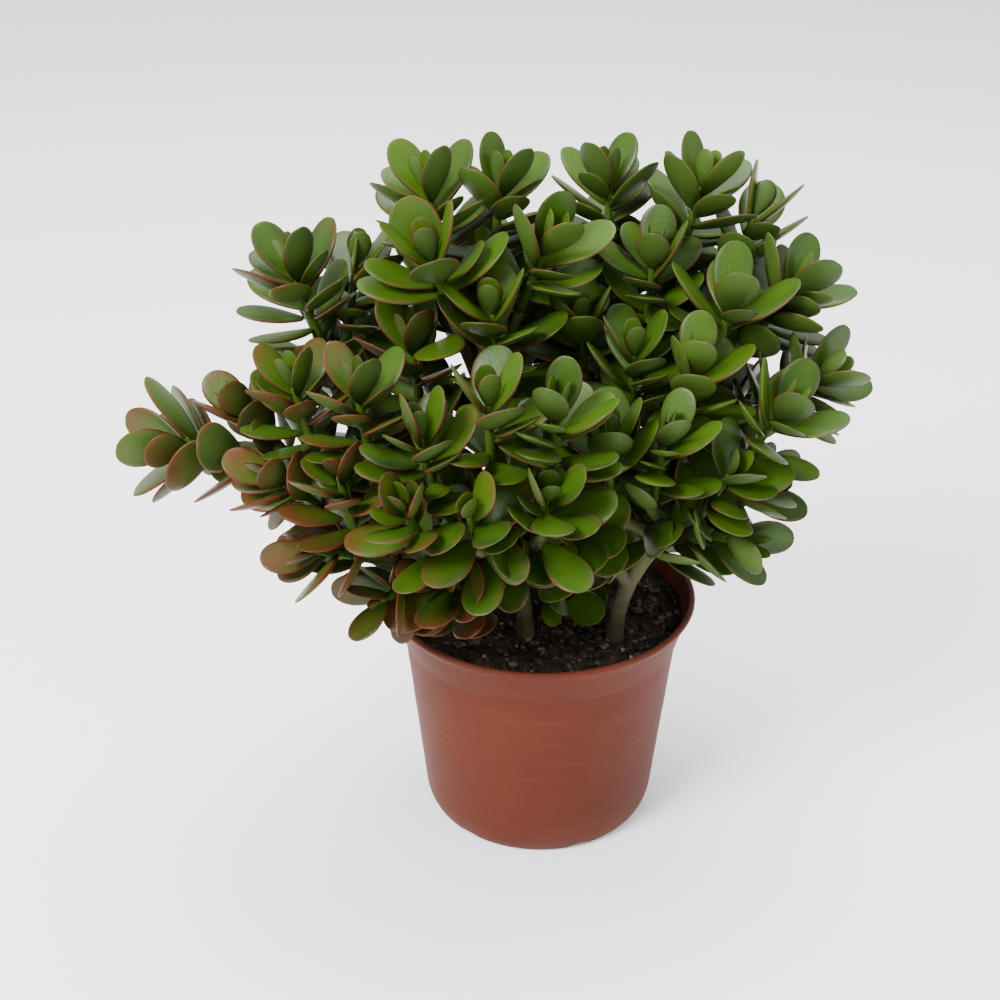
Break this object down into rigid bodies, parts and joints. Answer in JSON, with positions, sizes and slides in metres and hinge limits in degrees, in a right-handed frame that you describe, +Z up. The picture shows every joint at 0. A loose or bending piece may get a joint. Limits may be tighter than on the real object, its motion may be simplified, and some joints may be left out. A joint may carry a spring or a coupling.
{
  "type": "potted jade plant",
  "caption": "Bushy jade plant with thick paddle-shaped leaves on branching woody stems, rooted in soil in a tapered terracotta-coloured plastic nursery pot.",
  "frame": {"origin": "middle of the pot's foot, on the plane it stands on", "axes": "+Z up along the pot's axis; -Y towards the side the plant is viewed from, +X to its right"},
  "size_m": [0.3885, 0.2757, 0.3804],
  "materials": {
    "pot": "satin terracotta-coloured plastic",
    "soil": "dark, damp, crumbly potting mix",
    "bark": "matt grey-green to brown bark",
    "leaf": "waxy green leaf with a reddish margin"
  },
  "bodies": {
    "root": {"pot": "pot", "shoot_back_left": "leaf", "shoot_back_left_low": "leaf", "shoot_back_middle": "leaf", "shoot_back_middle_left": "leaf", "shoot_back_middle_low": "leaf", "shoot_back_right_low": "leaf", "shoot_back_right_mid": "leaf", "shoot_back_right_outer": "leaf", "shoot_back_right_outer_low": "leaf", "shoot_crown_centre": "leaf", "shoot_crown_front": "leaf", "shoot_crown_left": "leaf", "shoot_crown_right": "leaf", "shoot_far_left": "leaf", "shoot_front_left_hang": "leaf", "shoot_front_left_low": "leaf", "shoot_front_left_mid": "leaf", "shoot_front_left_outer": "leaf", "shoot_front_low": "leaf", "shoot_front_mid": "leaf", "shoot_front_mid_left": "leaf", "shoot_front_right_low": "leaf", "shoot_front_right_mid": "leaf", "shoot_front_right_upper": "leaf", "shoot_front_upper": "leaf", "shoot_front_upper_left": "leaf", "shoot_left_inner": "leaf", "shoot_left_low": "leaf", "shoot_left_middle": "leaf", "shoot_left_top": "leaf", "shoot_left_top_inner": "leaf", "shoot_over_soil": "leaf", "shoot_right_big": "leaf", "shoot_right_front_upper": "leaf", "shoot_right_front_upper_b": "leaf", "shoot_right_low": "leaf", "shoot_right_lower": "leaf", "shoot_right_lower_b": "leaf", "shoot_right_mid": "leaf", "shoot_right_mid_b": "leaf", "shoot_right_outer": "leaf", "shoot_right_outer_front": "leaf", "shoot_right_outer_top": "leaf", "shoot_top_back": "leaf", "shoot_top_front": "leaf", "shoot_top_left": "leaf", "shoot_top_left_front": "leaf", "shoot_top_middle": "leaf", "shoot_top_right": "leaf", "shoot_top_right_outer": "leaf", "soil": "soil", "stem_back": "bark", "stem_back_right": "bark", "stem_front": "bark", "stem_front_left": "bark", "stem_left": "bark", "stem_middle": "bark", "stem_right": "bark"}
  },
  "joints": []
}
